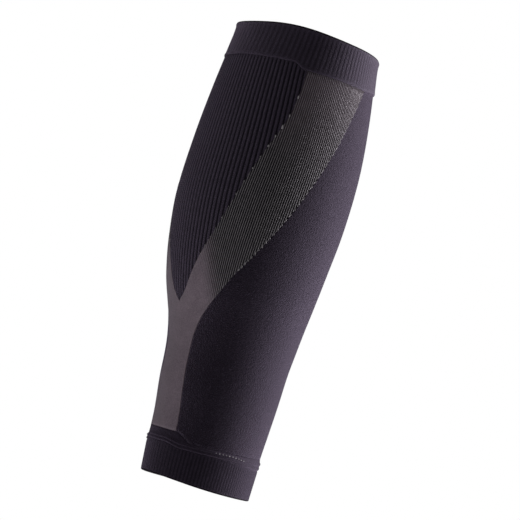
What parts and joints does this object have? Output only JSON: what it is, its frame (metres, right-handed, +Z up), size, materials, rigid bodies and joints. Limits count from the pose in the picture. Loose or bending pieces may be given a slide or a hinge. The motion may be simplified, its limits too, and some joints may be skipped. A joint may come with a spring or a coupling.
{
  "type": "calf compression sleeve",
  "caption": "Knitted compression sleeve for the lower leg, open at knee and ankle, with a ribbed band, a ribbed cuff and a forked support zone over the calf.",
  "frame": {"origin": "on the leg's axis at the height where the calf is fullest", "axes": "+Z up the leg towards the knee, +Y to the back of the calf, -Y to the shin, the same on both sides of X = 0"},
  "size_m": [0.1216, 0.1255, 0.3297],
  "materials": {
    "rib_knit": "ribbed knit, matt",
    "calf_knit": "wide ribbed knit, matt",
    "support_knit": "fine ribbed knit, matt",
    "shin_knit": "smooth fine knit, matt"
  },
  "bodies": {
    "root": {"knee_band": "rib_knit", "calf_panel": "calf_knit", "support_yoke": "support_knit", "shin_panel": "shin_knit", "ankle_cuff": "rib_knit"}
  },
  "joints": []
}
